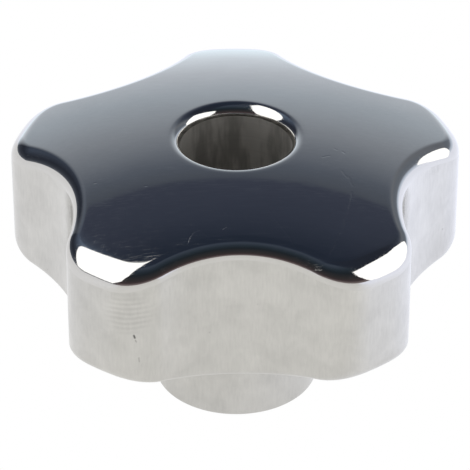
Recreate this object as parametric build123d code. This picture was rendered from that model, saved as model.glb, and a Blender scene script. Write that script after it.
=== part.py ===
from build123d import *
import os
from math import atan2, cos, hypot, pi, radians, sin, sqrt, tan

# Star knob with five lobes, cast and turned in one piece. Millimetres, +Z up.
# The origin is on the bore axis, in the plane of the flat face that the hub sits on.
# One lobe points along +Y.

# Head
head_diameter = 50.0         # circle through the lobe tips
crown_height = 30.8          # seat to the top of the crown's sphere, measured on the axis
dome_radius = 90.0           # sphere of the crown
underside_angle = 12.0       # rise of the conical underside towards the rim, in degrees

# Lobes and finger grips
lobe_count = 5
waist_diameter = 37.8        # circle that touches the bottoms of the grips
grip_radius = 14.6           # hollow of one grip
tip_land = 3.1               # arc of the full diameter that is left on each lobe tip

# Rounded edges of the head
tip_top_rounding = 2.8
tip_under_rounding = 2.1
grip_top_rounding = 1.9
grip_under_rounding = 1.1

# Hub
hub_diameter = 18.0
hub_length = 10.5            # seat to the root of the conical underside
hub_root_rounding = 1.5
hub_edge_rounding = 0.4

# Bore
bore_diameter = 12.0
mouth_rounding = 1.2         # where the bore opens in the crown

# How far the rings of waste reach past the metal that they round off
waste_margin = 2.0

# Worked out from the sizes above
head_radius = head_diameter / 2
waist_radius = waist_diameter / 2
hub_radius = hub_diameter / 2
bore_radius = bore_diameter / 2
half_pitch = pi / lobe_count
crown_centre = crown_height - dome_radius
underside_slope = radians(underside_angle)
underside_rim = hub_length + (head_radius - hub_radius) * tan(underside_slope)


def polar(radius, angle):
    """Point at a distance and an angle from the origin of a plane."""
    return Vector(radius * cos(angle), radius * sin(angle))


def crown_at(radius):
    """Height of the crown's sphere at a distance from the axis."""
    return crown_centre + sqrt(dome_radius**2 - radius**2)


def short_arc(centre, start, end):
    """The shorter arc about a centre, from start to end."""
    to_start = start - centre
    to_middle = (to_start.normalized() + (end - centre).normalized()).normalized()
    return ThreePointArc(start, centre + to_middle * to_start.length, end)


def star_outline():
    """Plan of the head: tip lands, lobe corners and grips as one chain of tangent arcs."""
    grip_distance = waist_radius + grip_radius
    half_land = tip_land / head_diameter
    reach = grip_distance * cos(half_pitch - half_land)
    # The one corner radius that is tangent to the full diameter, where the land ends, and to the grip
    corner_radius = (
        (head_radius**2 + grip_distance**2 - grip_radius**2 - 2 * head_radius * reach)
        / (2 * (head_radius + grip_radius - reach))
    )
    arcs = []
    for lobe in range(lobe_count):
        tip = pi / 2 + 2 * half_pitch * lobe
        next_tip = tip + 2 * half_pitch
        corner = polar(head_radius - corner_radius, tip + half_land)
        grip = polar(grip_distance, tip + half_pitch)
        next_corner = polar(head_radius - corner_radius, next_tip - half_land)
        land_end = polar(head_radius, tip + half_land)
        grip_start = corner + (grip - corner).normalized() * corner_radius
        grip_end = next_corner + (grip - next_corner).normalized() * corner_radius
        next_land = polar(head_radius, next_tip - half_land)
        next_land_end = polar(head_radius, next_tip + half_land)
        arcs.append(short_arc(corner, land_end, grip_start))
        arcs.append(short_arc(grip, grip_start, grip_end))
        arcs.append(short_arc(next_corner, grip_end, next_land))
        arcs.append(short_arc(Vector(0, 0), next_land, next_land_end))
    return Wire(arcs)


def ring_edges(body, radius, height):
    """Circular edges about the Z axis at one radius and one height."""
    found = []
    for edge in body.edges().filter_by(GeomType.CIRCLE):
        middle = edge @ 0.5
        if abs(hypot(middle.X, middle.Y) - radius) < 1e-4 and abs(middle.Z - height) < 1e-4:
            found.append(edge)
    return found


def turned_blank():
    """Body of revolution: crown, full diameter, conical underside, hub and bore."""
    mouth = (bore_radius, crown_at(bore_radius))
    rim = (head_radius, crown_at(head_radius))
    halfway = (bore_radius + head_radius) / 2
    crown = ThreePointArc(mouth, (halfway, crown_at(halfway)), rim)
    sides = Polyline(
        rim,
        (head_radius, underside_rim),
        (hub_radius, hub_length),
        (hub_radius, 0),
        (bore_radius, 0),
        mouth,
    )
    blank = revolve(Plane.XZ * make_face([crown, sides]), Axis.Z)
    blank = fillet(ring_edges(blank, bore_radius, mouth[1]), mouth_rounding)
    blank = fillet(ring_edges(blank, hub_radius, 0), hub_edge_rounding)
    return fillet(ring_edges(blank, hub_radius, hub_length), hub_root_rounding)


def outer_edges(faces):
    """Edges of these faces that follow the star outline."""
    found = []
    for edge in faces.edges():
        middle = edge @ 0.5
        if hypot(middle.X, middle.Y) > waist_radius - 0.01:
            found.append(edge)
    return found


def gripped_body():
    """The blank with its grips formed, and the edges along the outline rounded."""
    body = extrude(Face(star_outline()), crown_height) & turned_blank()
    crown_edges = outer_edges(body.faces().filter_by(GeomType.SPHERE))
    body = fillet(crown_edges, grip_top_rounding)
    underside_edges = outer_edges(body.faces().filter_by(GeomType.CONE))
    return fillet(underside_edges, grip_under_rounding)


def tip_waste(radius, centre_height, face_angle):
    """Ring of metal outside a rounding from the full diameter onto the face with this normal."""
    centre = Vector(head_radius - radius, centre_height)
    wall_end = Vector(head_radius, centre_height)
    face_end = centre + polar(radius, face_angle)
    clear = centre + polar(radius + waste_margin, face_angle)
    outer = head_radius + waste_margin
    rounding = ThreePointArc(wall_end, centre + polar(radius, face_angle / 2), face_end)
    waste = Polyline(face_end, clear, (outer, clear.Y), (outer, centre_height), wall_end)
    return revolve(Plane.XZ * make_face([rounding, waste]), Axis.Z)


def tip_top_waste():
    """Waste outside the rounding between the lobe tips and the crown."""
    inner_radius = head_radius - tip_top_rounding
    rise = sqrt((dome_radius - tip_top_rounding)**2 - inner_radius**2)
    return tip_waste(tip_top_rounding, crown_centre + rise, atan2(rise, inner_radius))


def tip_under_waste():
    """Waste outside the rounding between the lobe tips and the conical underside."""
    rise = tip_under_rounding * (1 - sin(underside_slope)) / cos(underside_slope)
    return tip_waste(tip_under_rounding, underside_rim + rise, underside_slope - pi / 2)


star_knob = gripped_body() - tip_top_waste() - tip_under_waste()

os.makedirs("parts", exist_ok=True)
export_step(star_knob, "parts/star_knob.step")
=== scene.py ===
from math import atan2, cos, hypot, pi, radians, sin, sqrt, tan

import bpy
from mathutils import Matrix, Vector


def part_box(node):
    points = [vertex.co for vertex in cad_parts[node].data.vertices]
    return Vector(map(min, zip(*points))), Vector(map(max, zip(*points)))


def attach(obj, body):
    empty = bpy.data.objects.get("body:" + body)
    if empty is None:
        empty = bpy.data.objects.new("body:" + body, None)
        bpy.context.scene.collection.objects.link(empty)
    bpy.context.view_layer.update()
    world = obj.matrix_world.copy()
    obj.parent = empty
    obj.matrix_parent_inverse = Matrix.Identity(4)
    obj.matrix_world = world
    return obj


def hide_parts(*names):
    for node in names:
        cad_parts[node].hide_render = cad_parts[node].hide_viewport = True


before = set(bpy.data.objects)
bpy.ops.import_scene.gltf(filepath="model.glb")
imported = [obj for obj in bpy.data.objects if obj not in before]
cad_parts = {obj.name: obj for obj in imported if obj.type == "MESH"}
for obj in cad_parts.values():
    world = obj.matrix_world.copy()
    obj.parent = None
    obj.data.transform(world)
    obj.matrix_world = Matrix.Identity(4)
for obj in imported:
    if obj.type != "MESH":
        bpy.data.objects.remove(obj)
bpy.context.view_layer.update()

# A star knob, cast in one piece, with a mirror-polished crown and satin walls.
# Metres, in the frame of the part: Z up from the seat, on the axis of the bore.

KNOB_LOW, KNOB_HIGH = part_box("star_knob")

# Sizes of the knob
HEAD_RADIUS = 0.0250
CROWN_HEIGHT = 0.0308
DOME_RADIUS = 0.0900
UNDERSIDE_SLOPE = radians(12.0)
LOBES = 5
WAIST_RADIUS = 0.0189
GRIP_RADIUS = 0.0146
TIP_LAND = 0.0031
TIP_TOP_ROUNDING = 0.0028
GRIP_TOP_ROUNDING = 0.0019
TIP_UNDER_ROUNDING = 0.0021
GRIP_UNDER_ROUNDING = 0.0011
HUB_RADIUS = 0.0090
HUB_LENGTH = 0.0105
HUB_ROOT_ROUNDING = 0.0015
HUB_EDGE_ROUNDING = 0.0004
BORE_RADIUS = 0.0060
MOUTH_ROUNDING = 0.0012

# Worked out from the sizes
HALF_PITCH = pi / LOBES
CROWN_CENTRE = CROWN_HEIGHT - DOME_RADIUS
DOME_MIDDLE = Vector((0.0, 0.0, CROWN_CENTRE))

# Steps of the mesh round the outline
STEPS_LAND = 4
STEPS_CORNER = 28
STEPS_GRIP = 36


# ---------------------------------------------------------------- the star outline

class Station:
    """One place on the outline: point, outward normal, and how far it is from tip (0) to grip (1)."""

    def __init__(self, point, normal, grip):
        self.point = point
        self.normal = normal
        self.grip = grip


def polar(radius, angle):
    return Vector((radius * cos(angle), radius * sin(angle), 0.0))


def smooth(t):
    """Ease from 0 to 1 with no kink at either end."""
    return t * t * (3.0 - 2.0 * t)


def arc_stations(centre, radius, start, end, steps, grips, hollow=False):
    """Stations along an arc, the last one left out. A hollow arc faces its own centre."""
    made = []
    for step in range(steps):
        t = step / steps
        ray = polar(1.0, start + (end - start) * t)
        grip = grips[0] + (grips[1] - grips[0]) * smooth(t)
        made.append(Station(centre + ray * radius, -ray if hollow else ray, grip))
    return made


def star_stations():
    """The whole outline: tip lands, corners and grips, each tangent to the next."""
    grip_distance = WAIST_RADIUS + GRIP_RADIUS
    half_land = TIP_LAND / HEAD_RADIUS / 2
    reach = grip_distance * cos(HALF_PITCH - half_land)
    corner_radius = (
        (HEAD_RADIUS**2 + grip_distance**2 - GRIP_RADIUS**2 - 2 * HEAD_RADIUS * reach)
        / (2 * (HEAD_RADIUS + GRIP_RADIUS - reach))
    )
    corner_distance = HEAD_RADIUS - corner_radius
    origin = Vector((0.0, 0.0, 0.0))
    stations = []
    for lobe in range(LOBES):
        tip = pi / 2 + 2 * HALF_PITCH * lobe
        middle = tip + HALF_PITCH
        next_tip = tip + 2 * HALF_PITCH
        corner = polar(corner_distance, tip + half_land)
        next_corner = polar(corner_distance, next_tip - half_land)
        grip = polar(grip_distance, middle)
        leave = grip - corner
        turn = (atan2(leave.y, leave.x) - tip - half_land) % (2 * pi)
        facing = tip + half_land + turn
        swing = facing - middle
        stations += arc_stations(origin, HEAD_RADIUS, tip - half_land, tip + half_land, STEPS_LAND, (0, 0))
        stations += arc_stations(corner, corner_radius, tip + half_land, facing, STEPS_CORNER, (0, 1))
        stations += arc_stations(
            grip, GRIP_RADIUS, middle + pi + swing, middle + pi - swing, STEPS_GRIP, (1, 1), hollow=True)
        stations += arc_stations(
            next_corner, corner_radius, middle - swing, next_tip - half_land, STEPS_CORNER, (1, 0))
    return stations


# ---------------------------------------------------------------- rings of the knob's skin

def crown_at(distance):
    return CROWN_CENTRE + sqrt(DOME_RADIUS**2 - distance**2)


def underside_at(distance):
    return HUB_LENGTH + (distance - HUB_RADIUS) * tan(UNDERSIDE_SLOPE)


def flat(point):
    return Vector((point.x, point.y, 0.0))


def ring_of(stations, distance, height):
    """A round ring with one point for each station, in its direction."""
    ring = []
    for s in stations:
        ring.append(flat(s.point).normalized() * distance + Vector((0, 0, height)))
    return ring


def between(first, last, steps):
    """Straight rings from first to last, neither of them included."""
    rings = []
    for step in range(1, steps):
        t = step / steps
        rings.append([a.lerp(b, t) for a, b in zip(first, last)])
    return rings


def rolled(centres, starts, ends, radii, steps):
    """Rings of a rounded edge: each point turns about its centre from one direction to another."""
    rings = []
    for step in range(steps + 1):
        t = step / steps
        rings.append([
            c + a.slerp(b, t) * r for c, a, b, r in zip(centres, starts, ends, radii)
        ])
    return rings


def top_edge(stations):
    """The rounded upper edge of the head, from the wall up to the crown."""
    centres, outs, ups, radii = [], [], [], []
    for s in stations:
        r = TIP_TOP_ROUNDING + (GRIP_TOP_ROUNDING - TIP_TOP_ROUNDING) * s.grip
        c = s.point - s.normal * r
        c.z = CROWN_CENTRE + sqrt((DOME_RADIUS - r) ** 2 - c.x**2 - c.y**2)
        centres.append(c)
        outs.append(s.normal)
        ups.append((c - DOME_MIDDLE).normalized())
        radii.append(r)
    return rolled(centres, outs, ups, radii, 18)


def lower_edge(stations):
    """The rounded lower edge of the head, from the wall down to the conical underside."""
    centres, outs, downs, radii = [], [], [], []
    for s in stations:
        r = TIP_UNDER_ROUNDING + (GRIP_UNDER_ROUNDING - TIP_UNDER_ROUNDING) * s.grip
        c = s.point - s.normal * r
        c.z = underside_at(hypot(c.x, c.y)) + r / cos(UNDERSIDE_SLOPE)
        centres.append(c)
        outs.append(s.normal)
        downs.append(flat(c).normalized() * sin(UNDERSIDE_SLOPE) - Vector((0, 0, cos(UNDERSIDE_SLOPE))))
        radii.append(r)
    return rolled(centres, outs, downs, radii, 10)


def round_edge(stations, distance, height, radius, start, end, steps):
    """A rounded edge that runs round the axis; directions are angles from straight outward."""
    rings = []
    for step in range(steps + 1):
        a = start + (end - start) * step / steps
        rings.append(ring_of(stations, distance + radius * cos(a), height + radius * sin(a)))
    return rings


def mouth_edge(stations):
    """The rounded mouth of the bore, from the bore's wall up to the crown."""
    distance = BORE_RADIUS + MOUTH_ROUNDING
    rise = sqrt((DOME_RADIUS - MOUTH_ROUNDING) ** 2 - distance**2)
    lean = atan2(rise, distance)
    return round_edge(stations, distance, CROWN_CENTRE + rise, MOUTH_ROUNDING, pi, lean, 14)


def crown_rings(mouth, rim):
    """The crown between the mouth and the rounded edge, every point on its sphere."""
    rings = between(mouth, rim, 34)
    for ring in rings:
        for p in ring:
            p.z = crown_at(hypot(p.x, p.y))
    return rings


def underside_rings(rim, root):
    rings = between(rim, root, 14)
    for ring in rings:
        for p in ring:
            p.z = underside_at(hypot(p.x, p.y))
    return rings


def root_edge(stations):
    """The fillet between the underside and the hub."""
    distance = HUB_RADIUS + HUB_ROOT_ROUNDING
    height = underside_at(distance) - HUB_ROOT_ROUNDING / cos(UNDERSIDE_SLOPE)
    return round_edge(stations, distance, height, HUB_ROOT_ROUNDING, pi / 2 + UNDERSIDE_SLOPE, pi, 8)


def skin_rings(stations):
    """All rings from the seat end of the bore, over the head and back, with the finish of each."""
    seat_inner = ring_of(stations, BORE_RADIUS, 0.0)
    mouth = mouth_edge(stations)
    top = top_edge(stations)[::-1]
    lower = lower_edge(stations)
    root = root_edge(stations)
    hub_edge = round_edge(
        stations, HUB_RADIUS - HUB_EDGE_ROUNDING, HUB_EDGE_ROUNDING, HUB_EDGE_ROUNDING, 0.0, -pi / 2, 5)
    zones = [
        ("bore", [seat_inner] + between(seat_inner, mouth[0], 12)),
        ("crown", mouth + crown_rings(mouth[-1], top[0]) + top[:-1]),
        ("wall", [top[-1]] + between(top[-1], lower[0], 12) + lower),
        ("wall", underside_rings(lower[-1], root[0]) + root),
        ("hub", between(root[-1], hub_edge[0], 8) + hub_edge),
        ("hub", between(hub_edge[-1], seat_inner, 3)),
    ]
    return [(name, ring) for name, rings in zones for ring in rings]


FINISHES = {"bore": 0, "crown": 1, "wall": 2, "hub": 2}


def knob_mesh():
    """The knob's skin as one closed mesh, drawn a hair small so that it stays in the frame's box."""
    stations = star_stations()
    rings = skin_rings(stations)
    count = len(stations)
    points = [p for _, ring in rings for p in ring]
    room = [KNOB_HIGH[axis] / max(p[axis] for p in points) for axis in range(3)]
    room += [KNOB_LOW[axis] / min(p[axis] for p in points) for axis in range(2)]
    hair = min(*room, 1.0)
    faces, slots = [], []
    for r, (name, _) in enumerate(rings):
        here, above = r * count, (r + 1) % len(rings) * count
        for i in range(count):
            j = (i + 1) % count
            faces.append((here + i, above + i, above + j, here + j))
            slots.append(FINISHES[name])
    mesh = bpy.data.meshes.new("star_knob_skin")
    mesh.from_pydata([tuple(p * hair) for p in points], [], faces)
    mesh.polygons.foreach_set("material_index", slots)
    mesh.polygons.foreach_set("use_smooth", [True] * len(faces))
    mesh.validate()
    mesh.update()
    return mesh


def build_knob():
    knob = bpy.data.objects.new("knob_skin", knob_mesh())
    bpy.context.scene.collection.objects.link(knob)
    for finish in (turned_bore(), mirror_crown(), satin_wall()):
        knob.data.materials.append(finish)
    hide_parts("star_knob")
    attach(knob, "root")
    return knob


# ---------------------------------------------------------------- finishes

STEEL = (0.62, 0.61, 0.59)
SATIN_STEEL = (0.60, 0.59, 0.565)
BORE_STEEL = (0.62, 0.60, 0.565)


class Graph:
    """A node tree with short calls to add nodes and join them."""

    def __init__(self, tree):
        self.tree = tree
        self.nodes = tree.nodes
        self.links = tree.links

    def add(self, kind, **settings):
        node = self.nodes.new("ShaderNode" + kind)
        for name, value in settings.items():
            setattr(node, name, value)
        return node

    def set(self, socket, value):
        """Join a socket to another socket, or write a plain value on it."""
        if isinstance(value, bpy.types.NodeSocket):
            self.links.new(value, socket)
        else:
            socket.default_value = value

    def math(self, operation, *values, clamp=False):
        node = self.add("Math", operation=operation, use_clamp=clamp)
        for socket, value in zip(node.inputs, values):
            self.set(socket, value)
        return node.outputs[0]

    def vector_math(self, operation, *values):
        node = self.add("VectorMath", operation=operation)
        for socket, value in zip(node.inputs, values):
            self.set(socket, value)
        return node.outputs["Value" if operation in ("DOT_PRODUCT", "LENGTH", "DISTANCE") else "Vector"]

    def remap(self, value, low, high, to_low=0.0, to_high=1.0, eased=False):
        node = self.add("MapRange", interpolation_type="SMOOTHSTEP" if eased else "LINEAR")
        for name, number in (
            ("Value", value), ("From Min", low), ("From Max", high), ("To Min", to_low), ("To Max", to_high),
        ):
            self.set(node.inputs[name], number)
        return node.outputs["Result"]

    def noise(self, vector, scale, detail=2.0, roughness=0.5, distortion=0.0):
        node = self.add("TexNoise")
        for name, number in (
            ("Vector", vector), ("Scale", scale), ("Detail", detail),
            ("Roughness", roughness), ("Distortion", distortion),
        ):
            self.set(node.inputs[name], number)
        return node.outputs["Fac"]

    def ramp(self, value, stops):
        node = self.add("ValToRGB")
        elements = node.color_ramp.elements
        while len(elements) < len(stops):
            elements.new(1.0)
        for element, (position, colour) in zip(elements, stops):
            element.position = position
            element.color = (*colour, 1.0)
        self.set(node.inputs["Fac"], value)
        return node.outputs["Color"]

    def mix(self, share, first, second):
        """One colour blended into another; a plain colour is three numbers."""
        node = self.add("Mix", data_type="RGBA")
        self.set(node.inputs["Factor"], share)
        for socket, colour in ((node.inputs[6], first), (node.inputs[7], second)):
            plain = isinstance(colour, tuple)
            self.set(socket, (*colour, 1.0) if plain else colour)
        return node.outputs[2]

    def place(self):
        """Position on the part, in metres."""
        return self.add("TexCoord").outputs["Object"]

    def group(self, tree, **values):
        node = self.add("Group", node_tree=tree)
        for name, value in values.items():
            self.set(node.inputs[name.replace("_", " ")], value)
        return node


def new_group(name, inputs, outputs):
    """A node group with named sockets; inputs carry their usual values."""
    tree = bpy.data.node_groups.new(name, "ShaderNodeTree")
    for label, kind, value in inputs:
        socket = tree.interface.new_socket(label, in_out="INPUT", socket_type=kind)
        socket.default_value = value
    for label, kind in outputs:
        tree.interface.new_socket(label, in_out="OUTPUT", socket_type=kind)
    graph = Graph(tree)
    entry = tree.nodes.new("NodeGroupInput")
    leave = tree.nodes.new("NodeGroupOutput")
    return graph, entry.outputs, leave.inputs


def steel_tone_group():
    """Steel whose tone wanders a little, in broad clouds and in fine grain; Dark lowers it where a finish
    paints shade into the colour.
    """
    g, take, give = new_group(
        "steel_tone_and_shade",
        [
            ("Steel", "NodeSocketColor", (*STEEL, 1.0)),
            ("Cloud Size", "NodeSocketFloat", 0.004),
            ("Cloud Share", "NodeSocketFloat", 0.05),
            ("Grain", "NodeSocketFloat", 0.5),
            ("Grain Share", "NodeSocketFloat", 0.05),
            ("Dark", "NodeSocketFloat", 0.0),
        ],
        [("Color", "NodeSocketColor")],
    )
    where = g.place()
    cloud = g.noise(where, g.math("DIVIDE", 1.0, take["Cloud Size"]), 3.0, 0.55, 0.4)
    cloud = g.math("MULTIPLY", g.math("SUBTRACT", cloud, 0.5), take["Cloud Share"])
    grain = g.math("MULTIPLY", g.math("SUBTRACT", take["Grain"], 0.5), take["Grain Share"])
    level = g.math("ADD", 1.0, g.math("MULTIPLY", g.math("ADD", cloud, grain), 2.0))
    level = g.math("MULTIPLY", level, g.math("SUBTRACT", 1.0, take["Dark"]))
    g.links.new(g.vector_math("SCALE", take["Steel"]), give["Color"])
    scale = give["Color"].links[0].from_node
    g.links.new(level, scale.inputs["Scale"])
    return g.tree


def brush_group():
    """Fine marks drawn one way, as a belt leaves them; Squeeze is small along the marks."""
    g, take, give = new_group(
        "brush_marks",
        [
            ("Width", "NodeSocketFloat", 0.00025),
            ("Squeeze", "NodeSocketVector", (1.0, 1.0, 0.1)),
        ],
        [("Grain", "NodeSocketFloat")],
    )
    where = g.vector_math("MULTIPLY", g.place(), take["Squeeze"])
    g.set(give["Grain"], g.noise(where, g.math("DIVIDE", 1.0, take["Width"]), 3.0, 0.6))
    return g.tree


def pits_group():
    """Sparse small pits, left by the casting; a mask by which the wall paints their shade as darker spots."""
    g, take, give = new_group(
        "cast_pit_shade",
        [
            ("Spacing", "NodeSocketFloat", 0.0016),
            ("Share", "NodeSocketFloat", 0.2),
            ("Size", "NodeSocketFloat", 0.08),
        ],
        [("Mask", "NodeSocketFloat")],
    )
    cell = g.add("TexVoronoi", feature="F1")
    g.set(cell.inputs["Vector"], g.place())
    g.set(cell.inputs["Scale"], g.math("DIVIDE", 1.0, take["Spacing"]))
    spot = g.remap(cell.outputs["Distance"], g.math("MULTIPLY", take["Size"], 0.5), take["Size"], 1.0, 0.0)
    tone = g.add("SeparateColor")
    g.links.new(cell.outputs["Color"], tone.inputs[0])
    chosen = g.math("LESS_THAN", tone.outputs[0], take["Share"])
    g.set(give["Mask"], g.math("MULTIPLY", spot, chosen))
    return g.tree


def scratch_group():
    """One straight scratch or dent from one point to another; Keep drops an axis that doesn't count."""
    g, take, give = new_group(
        "one_scratch",
        [
            ("From", "NodeSocketVector", (0.0, 0.0, 0.0)),
            ("To", "NodeSocketVector", (0.01, 0.0, 0.0)),
            ("Keep", "NodeSocketVector", (1.0, 1.0, 0.0)),
            ("Width", "NodeSocketFloat", 0.0001),
            ("Others", "NodeSocketFloat", 0.0),
            ("Depth", "NodeSocketFloat", 1.0),
        ],
        [("Mask", "NodeSocketFloat")],
    )
    place = g.vector_math("MULTIPLY", g.place(), take["Keep"])
    drift = g.add("CombineXYZ")
    g.set(drift.inputs["X"], g.math("MULTIPLY", g.math("SUBTRACT", g.noise(place, 900.0, 1.0), 0.5), 0.0004))
    start = g.vector_math("MULTIPLY", take["From"], take["Keep"])
    here = g.vector_math("SUBTRACT", g.vector_math("ADD", place, drift.outputs[0]), start)
    run = g.vector_math("MULTIPLY", g.vector_math("SUBTRACT", take["To"], take["From"]), take["Keep"])
    length = g.vector_math("DOT_PRODUCT", run, run)
    along = g.math("DIVIDE", g.vector_math("DOT_PRODUCT", here, run), length, clamp=True)
    foot = g.add("VectorMath", operation="SCALE")
    g.set(foot.inputs[0], run)
    g.set(foot.inputs["Scale"], along)
    away = g.vector_math("DISTANCE", here, foot.outputs[0])
    line = g.remap(away, 0.0, take["Width"], 1.0, 0.0, eased=True)
    mark = g.math("MULTIPLY", line, take["Depth"])
    g.set(give["Mask"], g.math("MAXIMUM", mark, take["Others"]))
    return g.tree


def chatter_group():
    """A patch of close ripples round one place, left where the belt jumped; a mask by which the wall paints
    their shade as darker bands.
    """
    g, take, give = new_group(
        "chatter_ripple_shade",
        [
            ("Middle", "NodeSocketVector", (0.0, 0.0, 0.0)),
            ("Reach", "NodeSocketFloat", 0.004),
            ("Pitch", "NodeSocketFloat", 0.0009),
        ],
        [("Mask", "NodeSocketFloat")],
    )
    place = g.place()
    away = g.vector_math("DISTANCE", place, take["Middle"])
    patch = g.remap(away, g.math("MULTIPLY", take["Reach"], 0.3), take["Reach"], 1.0, 0.0, eased=True)
    rise = g.vector_math("DOT_PRODUCT", place, (-0.1, 0.0, 1.0))
    rise = g.math("ADD", rise, g.math("MULTIPLY", g.noise(place, 400.0, 1.0), 0.0005))
    wave = g.math("SINE", g.math("MULTIPLY", g.math("DIVIDE", rise, take["Pitch"]), 2 * pi))
    g.set(give["Mask"], g.math("MULTIPLY", patch, g.remap(wave, -1.0, 1.0)))
    return g.tree


def wander_group():
    """A slow wander of the surface, left by hand polishing."""
    g, take, give = new_group(
        "hand_polish",
        [("Size", "NodeSocketFloat", 0.007)],
        [("Height", "NodeSocketFloat"), ("Haze", "NodeSocketFloat")],
    )
    where = g.place()
    g.set(give["Height"], g.noise(where, g.math("DIVIDE", 1.0, take["Size"]), 1.0, 0.4))
    g.set(give["Haze"], g.noise(where, g.math("DIVIDE", 3.0, take["Size"]), 3.0, 0.6, 0.8))
    return g.tree


GROUPS = {}


def shared(name):
    """Each node group is made once and used by every finish that needs it."""
    makers = {
        "steel_tone_and_shade": steel_tone_group,
        "brush_marks": brush_group,
        "cast_pit_shade": pits_group,
        "one_scratch": scratch_group,
        "chatter_ripple_shade": chatter_group,
        "hand_polish": wander_group,
    }
    if name not in GROUPS:
        GROUPS[name] = makers[name]()
    return GROUPS[name]


def steel_material(name):
    """An empty metal finish: its material, graph and shader."""
    material = bpy.data.materials.new(name)
    material.use_nodes = True
    material.node_tree.nodes.clear()
    g = Graph(material.node_tree)
    out = g.add("OutputMaterial")
    steel = g.add("BsdfPrincipled")
    steel.inputs["Metallic"].default_value = 1.0
    g.links.new(steel.outputs["BSDF"], out.inputs["Surface"])
    return material, g, steel


def bump(g, height, depth, normal=None):
    """A bump of a depth in metres; a normal may come from a bump before it."""
    node = g.add("Bump")
    node.inputs["Strength"].default_value = 1.0
    node.inputs["Distance"].default_value = depth
    g.set(node.inputs["Height"], height)
    if normal is not None:
        g.set(node.inputs["Normal"], normal)
    return node.outputs["Normal"]


# Scratches on the crown in millimetres: from, to, width and how plain each one is
SCRATCHES = [
    ((11.9, -9.8), (10.8, -15.0), 0.16, 0.22),
    ((10.9, -14.8), (9.2, -19.3), 0.16, 0.18),
    ((11.0, -6.3), (11.5, -7.4), 0.22, 0.16),
    ((11.6, -7.2), (12.0, -8.6), 0.22, 0.14),
    ((9.1, -4.1), (9.8, -3.7), 0.16, 0.30),
    ((11.2, -2.7), (11.4, -3.0), 0.14, 0.40),
    ((10.4, -2.3), (10.6, -2.5), 0.14, 0.35),
    ((-5.3, -18.0), (-5.05, -17.1), 0.10, 0.45),
    ((-5.05, -17.1), (-4.6, -16.5), 0.10, 0.35),
    ((-4.6, -16.5), (-4.0, -16.2), 0.09, 0.25),
    ((-1.7, -16.3), (-1.2, -15.9), 0.08, 0.35),
    ((-15.0, -7.2), (-14.8, -7.2), 0.14, 0.35),
    ((-9.7, -8.8), (-9.5, -8.8), 0.12, 0.30),
    ((3.0, -13.2), (5.6, -18.4), 0.14, 0.07),
    ((-2.2, -18.4), (-6.5, -13.5), 0.12, 0.06),
]
# Small dents in the wall of one lobe, in millimetres; they are drawn only as painted shade, darker colour
# with no bump
DENT_SHADE_MARKS = [
    ((-10.9, -21.9, 20.1), (-10.8, -21.9, 19.8), 0.17, 0.85),
    ((-10.7, -21.9, 19.5), (-10.6, -21.9, 19.3), 0.13, 0.40),
    ((-10.4, -21.9, 17.3), (-10.4, -21.9, 16.8), 0.12, 0.30),
]


def in_metres(place):
    padded = (*place, 0.0) if len(place) == 2 else place
    return tuple(value / 1000 for value in padded)


def mirror_crown():
    """The crown, its rounded edges and the bore's mouth: buffed to a mirror, with a few light scratches."""
    material, g, steel = steel_material("mirror_crown")
    polish = g.group(shared("hand_polish"))
    marks = 0.0
    for start, end, width, depth in SCRATCHES:
        scratch = g.group(
            shared("one_scratch"), From=in_metres(start), To=in_metres(end),
            Width=width / 1000, Others=marks, Depth=depth)
        marks = scratch.outputs["Mask"]
    buffing = g.group(shared("brush_marks"), Width=0.00016, Squeeze=(0.05, 1.0, 1.0))
    tone = g.group(
        shared("steel_tone_and_shade"), Steel=(*STEEL, 1.0), Cloud_Size=0.006, Cloud_Share=0.03,
        Grain=buffing.outputs["Grain"], Grain_Share=0.07)
    g.set(steel.inputs["Base Color"], tone.outputs["Color"])
    haze = g.remap(polish.outputs["Haze"], 0.35, 0.75, 0.035, 0.08)
    haze = g.math("ADD", haze, g.remap(buffing.outputs["Grain"], 0.5, 0.8, 0.0, 0.15))
    g.set(steel.inputs["Roughness"], g.math("ADD", haze, g.math("MULTIPLY", marks, 0.45)))
    slow = bump(g, polish.outputs["Height"], 0.00002)
    g.set(steel.inputs["Normal"], bump(g, g.math("MULTIPLY", marks, -1.0), 0.00002, slow))
    return material


def satin_wall():
    """The walls, underside and hub: belt-ground to satin, with broad clouds of painted reflection and shade
    in the colour; cast pits, two dents and a rippled patch are painted shade, darker colour with no bump.
    """
    material, g, steel = steel_material("satin_wall")
    polish = g.group(shared("hand_polish"), Size=0.005)
    brush = g.group(shared("brush_marks"), Width=0.00022, Squeeze=(1.0, 1.0, 0.16))
    pits = g.group(shared("cast_pit_shade"))
    ripples = g.group(shared("chatter_ripple_shade"), Middle=(-0.0114, -0.0216, 0.0226),
        Reach=0.0034, Pitch=0.0006)
    # Painted shade: pits, dents and ripples only darken the colour.
    marks = g.math("MULTIPLY", pits.outputs["Mask"], 0.25)
    for start, end, width, depth in DENT_SHADE_MARKS:
        dent = g.group(
            shared("one_scratch"), From=in_metres(start), To=in_metres(end), Keep=(1.0, 1.0, 1.0),
            Width=width / 1000, Others=marks, Depth=depth)
        marks = dent.outputs["Mask"]
    dark = g.math("ADD", marks, g.math("MULTIPLY", ripples.outputs["Mask"], 0.10))
    # Painted reflection and shade: the broad clouds in the colour; the brush grain is partly the steel's own
    # grain and partly painted reflection.
    tone = g.group(
        shared("steel_tone_and_shade"), Steel=(*SATIN_STEEL, 1.0), Cloud_Size=0.0035, Cloud_Share=0.17,
        Grain=brush.outputs["Grain"], Grain_Share=0.11, Dark=dark)
    g.set(steel.inputs["Base Color"], tone.outputs["Color"])
    g.set(steel.inputs["Roughness"], g.remap(brush.outputs["Grain"], 0.3, 0.7, 0.12, 0.22))
    soft = bump(g, polish.outputs["Height"], 0.00008)
    g.set(steel.inputs["Normal"], bump(g, brush.outputs["Grain"], 0.000004, soft))
    return material


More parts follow.
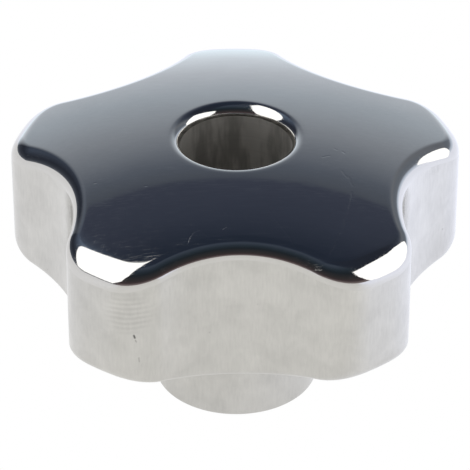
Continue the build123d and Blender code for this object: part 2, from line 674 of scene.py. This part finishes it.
def turned_bore():
    """The bore: bored out on a lathe, dull, with fine rings and soft dark streaks of painted shade."""
    material, g, steel = steel_material("turned_bore")
    rings = g.group(shared("brush_marks"), Width=0.0003, Squeeze=(0.0, 0.0, 1.0))
    shade_streaks = g.group(shared("brush_marks"), Width=0.0020, Squeeze=(1.0, 0.6, 0.22))
    # Painted shade: soft dark streaks down the bore.
    dark = g.remap(shade_streaks.outputs["Grain"], 0.40, 0.62, 0.0, 0.42, eased=True)
    tone = g.group(
        shared("steel_tone_and_shade"), Steel=(*BORE_STEEL, 1.0), Cloud_Size=0.005, Cloud_Share=0.10,
        Grain=rings.outputs["Grain"], Grain_Share=0.16, Dark=dark)
    g.set(steel.inputs["Base Color"], tone.outputs["Color"])
    steel.inputs["Metallic"].default_value = 0.75
    g.set(steel.inputs["Roughness"], g.remap(shade_streaks.outputs["Grain"], 0.3, 0.7, 0.28, 0.38))
    g.set(steel.inputs["Normal"], bump(g, rings.outputs["Grain"], 0.00001))
    return material


# ---------------------------------------------------------------- studio

TENT_RADIUS = 2.4

# Brightness round the studio by the angle above the floor, in degrees
SWEEP = [
    (0, (1.20, 1.40, 1.55)),
    (6, (0.86, 0.94, 1.04)),
    (12, (0.65, 0.70, 0.78)),
    (20, (0.47, 0.53, 0.60)),
    (30, (0.31, 0.34, 0.39)),
    (40, (0.12, 0.14, 0.18)),
    (43.4, (0.095, 0.11, 0.14)),
    (44, (0.06, 0.07, 0.105)),
    (52, (0.045, 0.055, 0.085)),
    (58, (0.024, 0.033, 0.055)),
]
ROOM = [
    (0, (0.30, 0.25, 0.25)),
    (10, (0.07, 0.05, 0.055)),
    (20, (0.045, 0.04, 0.042)),
    (45, (0.02, 0.027, 0.035)),
    (60, (0.03, 0.043, 0.06)),
    (79, (0.06, 0.077, 0.11)),
    (90, (0.024, 0.033, 0.055)),
]
LEFT_SIDE = [
    (0, (0.16, 0.18, 0.21)),
    (5, (0.08, 0.09, 0.115)),
    (11, (0.045, 0.052, 0.07)),
    (20, (0.028, 0.033, 0.048)),
    (30, (0.045, 0.055, 0.08)),
    (44, (0.10, 0.13, 0.19)),
    (54, (0.16, 0.21, 0.29)),
    (60, (0.05, 0.07, 0.11)),
    (90, (0.024, 0.033, 0.056)),
]
RIGHT_SIDE = [
    (0, (0.95, 1.03, 1.18)),
    (7, (0.62, 0.70, 0.84)),
    (13, (0.20, 0.225, 0.27)),
    (22, (0.17, 0.195, 0.235)),
    (32, (0.19, 0.205, 0.235)),
    (39, (0.10, 0.115, 0.145)),
    (44, (0.055, 0.068, 0.098)),
    (55, (0.025, 0.030, 0.045)),
    (90, (0.024, 0.033, 0.056)),
]


def emission_material(name):
    """A material that only glows; returns it with its emission node."""
    material = bpy.data.materials.new(name)
    material.use_nodes = True
    nodes = material.node_tree.nodes
    nodes.clear()
    out = nodes.new("ShaderNodeOutputMaterial")
    glow = nodes.new("ShaderNodeEmission")
    material.node_tree.links.new(glow.outputs["Emission"], out.inputs["Surface"])
    return material, glow


def only_in_reflections(obj):
    obj.visible_camera = False
    obj.visible_diffuse = False
    obj.visible_shadow = False
    obj.visible_transmission = False


def height_ramp(g, height, stops):
    """A colour ramp over the angle above the floor, where 1 is straight up."""
    places = [(elevation / 90.0, colour) for elevation, colour in stops]
    return g.ramp(height, places)


def compass_mask(g, compass, stops):
    """A mask over the azimuth in degrees, from -180 to 180."""
    places = [(azimuth / 360.0 + 0.5, (value, value, value)) for azimuth, value in stops]
    return g.ramp(compass, places)


def tent_material():
    """The light tent round the knob: a bright sweep at the back, a dark room in front, grey sides."""
    material, glow = emission_material("light_tent")
    g = Graph(material.node_tree)
    part = g.add("SeparateXYZ")
    g.set(part.inputs[0], g.vector_math("NORMALIZE", g.place()))
    turn = g.math("ARCTAN2", part.outputs["X"], part.outputs["Y"])
    compass = g.remap(turn, -pi, pi)
    height = g.math("DIVIDE", g.math("ARCSINE", part.outputs["Z"]), pi / 2)
    colour = height_ramp(g, height, ROOM)
    for stops, mask in (
        (LEFT_SIDE, [(-180, 0), (-140, 0), (-120, 1), (-20, 1), (0, 0)]),
        (RIGHT_SIDE, [(0, 0), (20, 1), (108, 1), (124, 0), (180, 0)]),
        (SWEEP, [(-38, 0), (-24, 1), (23, 1), (36, 0)]),
    ):
        colour = g.mix(compass_mask(g, compass, mask), colour, height_ramp(g, height, stops))
    g.set(glow.inputs["Color"], colour)
    return material


def build_tent():
    """A half sphere over the set."""
    verts, faces = [], []
    around, rise = 96, 24
    for j in range(rise + 1):
        e = pi / 2 * j / rise
        for i in range(around):
            a = 2 * pi * i / around
            verts.append((TENT_RADIUS * cos(a) * cos(e), TENT_RADIUS * sin(a) * cos(e), TENT_RADIUS * sin(e)))
    for j in range(rise):
        for i in range(around):
            k = (i + 1) % around
            faces.append((j * around + i, j * around + k, (j + 1) * around + k, (j + 1) * around + i))
    mesh = bpy.data.meshes.new("light_tent")
    mesh.from_pydata(verts, [], faces)
    mesh.materials.append(tent_material())
    tent = bpy.data.objects.new("light_tent", mesh)
    bpy.context.scene.collection.objects.link(tent)
    only_in_reflections(tent)


def panel(name, azimuth, lean, distance, outline, colour, strength):
    """A flat glowing panel beside the knob; its outline is in distances across and up, from its middle."""
    a, e = radians(azimuth), radians(lean)
    middle = Vector((sin(a) * cos(e), cos(a) * cos(e), sin(e)))
    across = Vector((cos(a), -sin(a), 0.0))
    up = Vector((-sin(a) * sin(e), -cos(a) * sin(e), cos(e)))
    corners = [(middle + across * u + up * v) * distance for u, v in outline]
    for corner in corners:
        corner.z = max(corner.z, 0.0005)
    mesh = bpy.data.meshes.new(name)
    mesh.from_pydata(corners, [], [tuple(range(len(corners)))])
    material, glow = emission_material(name)
    glow.inputs["Color"].default_value = (*colour, 1.0)
    glow.inputs["Strength"].default_value = strength
    mesh.materials.append(material)
    board = bpy.data.objects.new(name, mesh)
    bpy.context.scene.collection.objects.link(board)
    board.visible_camera = False
    board.visible_shadow = False
    return board


FLOOR_SIDE = 8.0
WORLD_AS_LIGHT = 0.45
PANEL_LEAN = 15
PANEL_STRENGTH = 1.8
LEFT_PANEL_DISTANCE = 0.15
RIGHT_PANEL_DISTANCE = 0.11

LEFT_PANEL = [
    (1.02, 2.25), (0.90, 1.85), (0.34, 0.72), (-0.08, 0.02),
    (-0.12, -0.06), (-0.80, -0.04), (-1.08, 0.30), (-1.00, 0.95), (-0.60, 1.52), (0.0, 2.05),
]
RIGHT_PANEL = [
    (-0.16, 0.80), (0.30, 0.82), (0.80, 0.92), (0.92, 0.50),
    (0.78, 0.10), (0.58, -0.14), (-0.08, -0.14), (-0.30, 0.06), (-0.33, 0.30), (-0.26, 0.52),
]


def build_studio():
    side = FLOOR_SIDE / 2
    corners = [(-side, -side, 0), (side, -side, 0), (side, side, 0), (-side, side, 0)]
    floor_mesh = bpy.data.meshes.new("floor")
    floor_mesh.from_pydata(corners, [], [(0, 1, 2, 3)])
    floor_mesh.materials.append(pale_floor())
    floor = bpy.data.objects.new("floor", floor_mesh)
    bpy.context.scene.collection.objects.link(floor)

    build_tent()
    white = (1.0, 1.0, 1.0)
    panel("left_panel", -90, PANEL_LEAN, LEFT_PANEL_DISTANCE, LEFT_PANEL, white, PANEL_STRENGTH)
    panel("right_panel", 90, PANEL_LEAN, RIGHT_PANEL_DISTANCE, RIGHT_PANEL, white, PANEL_STRENGTH)


def pale_floor():
    """A white floor, plain white to the eye; in the metal it keeps some of the knob's shadow and shows a
    painted light, brightest and bluest at the back right, lighter at the back left and warmer in front.
    """
    material = bpy.data.materials.new("pale_floor")
    material.use_nodes = True
    material.node_tree.nodes.clear()
    g = Graph(material.node_tree)
    out = g.add("OutputMaterial")
    lit = g.add("BsdfDiffuse")
    lit.inputs["Color"].default_value = (0.8, 0.8, 0.8, 1.0)
    path = g.add("LightPath")
    white = g.add("Emission")
    mirrored_floor_light = g.add("Emission")
    # Painted light on the floor as the metal sees it: a bright blue pool at the back right, lighter at the
    # back left, warmer in front.
    bright_cool_pool = g.remap(g.vector_math("DOT_PRODUCT", g.place(), (0.8, 0.6, 0.0)), -0.02, 0.06, eased=True)
    left = g.remap(g.vector_math("DOT_PRODUCT", g.place(), (-0.8, 0.6, 0.0)), 0.0, 0.04, eased=True)
    plain = g.mix(left, (0.97, 0.965, 0.945), (1.07, 1.075, 1.10))
    g.set(mirrored_floor_light.inputs["Color"], g.mix(bright_cool_pool, plain, (1.28, 1.33, 1.52)))
    first = g.math("LESS_THAN", path.outputs["Ray Depth"], 2.5)
    mirrored = g.math("MULTIPLY", path.outputs["Is Glossy Ray"], first)
    direct = g.math("MAXIMUM", path.outputs["Is Camera Ray"], path.outputs["Is Transmission Ray"])
    for_metal = g.add("MixShader")
    for_eye = g.add("MixShader")
    g.set(for_metal.inputs["Fac"], g.math("MULTIPLY", mirrored, 0.8))
    g.links.new(lit.outputs[0], for_metal.inputs[1])
    g.links.new(mirrored_floor_light.outputs[0], for_metal.inputs[2])
    g.set(for_eye.inputs["Fac"], direct)
    g.links.new(for_metal.outputs[0], for_eye.inputs[1])
    g.links.new(white.outputs[0], for_eye.inputs[2])
    g.links.new(for_eye.outputs[0], out.inputs["Surface"])
    return material


def white_world():
    """A white world, full to the eye, in metal and through glass, and softer as a light."""
    world = bpy.data.worlds.new("studio")
    bpy.context.scene.world = world
    world.use_nodes = True
    world.node_tree.nodes.clear()
    g = Graph(world.node_tree)
    out = g.add("OutputWorld")
    sky = g.add("Background")
    sky.inputs["Color"].default_value = (1.0, 1.0, 1.0, 1.0)
    path = g.add("LightPath")
    seen = g.math("MAXIMUM", path.outputs["Is Camera Ray"], path.outputs["Is Glossy Ray"])
    shown = g.math("MAXIMUM", seen, path.outputs["Is Transmission Ray"])
    g.set(sky.inputs["Strength"], g.remap(shown, 0.0, 1.0, WORLD_AS_LIGHT, 1.0))
    g.links.new(sky.outputs[0], out.inputs["Surface"])


def build_camera():
    """A long lens, a little left of straight on, looking down at the knob."""
    elevation, turn, distance = radians(33.57), radians(1.04), 0.33134
    target = Vector((-0.000126, 0.0, 0.01779))
    back = Vector((-sin(turn) * cos(elevation), -cos(turn) * cos(elevation), sin(elevation)))
    camera = bpy.data.objects.new("camera", bpy.data.cameras.new("camera"))
    bpy.context.scene.collection.objects.link(camera)
    camera.data.sensor_width = 36.0
    camera.data.lens = 233.2
    camera.data.clip_start = 0.01
    camera.data.clip_end = 20.0
    camera.location = target + back * distance
    camera.rotation_mode = "QUATERNION"
    camera.rotation_quaternion = (-back).to_track_quat("-Z", "Y")
    bpy.context.scene.camera = camera


build_camera()
build_knob()
build_studio()
white_world()
bpy.context.scene.view_settings.view_transform = "Standard"
